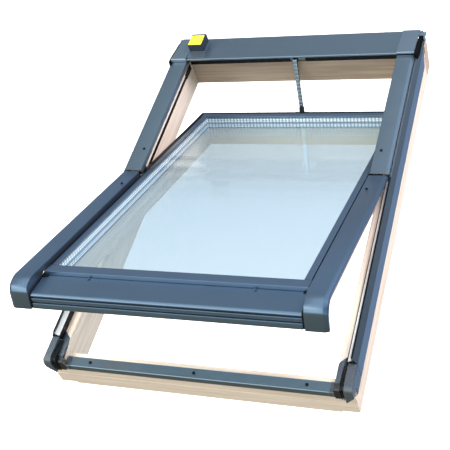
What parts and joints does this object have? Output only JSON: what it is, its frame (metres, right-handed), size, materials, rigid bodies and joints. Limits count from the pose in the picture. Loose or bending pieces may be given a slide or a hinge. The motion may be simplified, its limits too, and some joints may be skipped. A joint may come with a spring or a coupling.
{
  "type": "centre-pivot roof window",
  "caption": "Rectangular roof window with a timber frame, grey-blue metal cladding and a triple-glazed sash that tilts open about its middle, with a hood at the head.",
  "frame": {"origin": "middle of the sill rail's down-slope face, on the room-side plane of the timber frame", "axes": "+X across the window to its right as seen from outside, +Y up the roof's slope, +Z out of the roof"},
  "size_m": [0.784, 1.1969, 0.5403],
  "materials": {
    "frame_timber": "satin",
    "sash_timber": "satin",
    "frame_cladding": "satin",
    "hood_end_cladding": "satin",
    "sash_cladding": "satin",
    "corner_plastic": "matt",
    "black_rubber": "matt",
    "white_seal": "matt",
    "clear_glass": "clear",
    "spacer_bar": "matt",
    "sensor_housing": "matt",
    "sensing_plate": "gloss",
    "opener_casing": "matt",
    "bright_steel": "brushed",
    "dark_screws": "satin"
  },
  "bodies": {
    "frame": {"sill_rail": "frame_timber", "head_rail": "frame_timber", "left_rail": "frame_timber", "right_rail": "frame_timber", "left_side_profile": "frame_cladding", "right_side_profile": "frame_cladding", "left_frame_cover": "frame_cladding", "right_frame_cover": "frame_cladding", "hood": "frame_cladding", "left_hood_end": "hood_end_cladding", "right_hood_end": "hood_end_cladding", "left_foam_block": "black_rubber", "right_foam_block": "black_rubber", "sill_cover": "frame_cladding", "sill_cover_laps": "corner_plastic", "left_corner_shell": "corner_plastic", "right_corner_shell": "corner_plastic", "left_corner_fins": "black_rubber", "right_corner_fins": "black_rubber", "left_corner_plate": "corner_plastic", "right_corner_plate": "corner_plastic", "left_seal_strip": "white_seal", "right_seal_strip": "white_seal", "frame_gaskets": "black_rubber", "head_gasket": "black_rubber", "rain_sensor": "sensor_housing", "sensor_plate": "sensing_plate", "sensor_bracket": "hood_end_cladding", "opener_housing": "opener_casing", "chain_exit_plate": "bright_steel", "drive_chain": "bright_steel", "left_hinge_guide": "bright_steel", "right_hinge_guide": "bright_steel", "hinge_guide_screws": "bright_steel", "frame_cover_screws": "dark_screws", "sill_cover_screws": "dark_screws"},
    "sash": {"sash_bottom_rail": "sash_timber", "sash_top_rail": "sash_timber", "sash_left_rail": "sash_timber", "sash_right_rail": "sash_timber", "left_sash_cover": "sash_cladding", "right_sash_cover": "sash_cladding", "sash_bottom_profile": "sash_cladding", "bottom_bead": "sash_cladding", "top_bead": "sash_cladding", "left_bead": "sash_cladding", "right_bead": "sash_cladding", "outer_pane": "clear_glass", "middle_pane": "clear_glass", "inner_pane": "clear_glass", "outer_spacer": "spacer_bar", "inner_spacer": "spacer_bar", "sash_gaskets": "black_rubber", "sash_corner_blocks": "black_rubber", "left_hinge_shoe": "bright_steel", "right_hinge_shoe": "bright_steel", "hinge_shoe_screws": "bright_steel", "sash_cover_screws": "dark_screws", "bottom_profile_screws": "bright_steel", "chain_bracket": "opener_casing"}
  },
  "joints": [
    {"name": "sash_tilt", "type": "hinge", "parent": "frame", "child": "sash", "pos_m": [0, 0.606, 0.137], "axis": [1, 0, 0], "range_deg": [0, 23.4], "deforming": ["drive_chain"]}
  ]
}
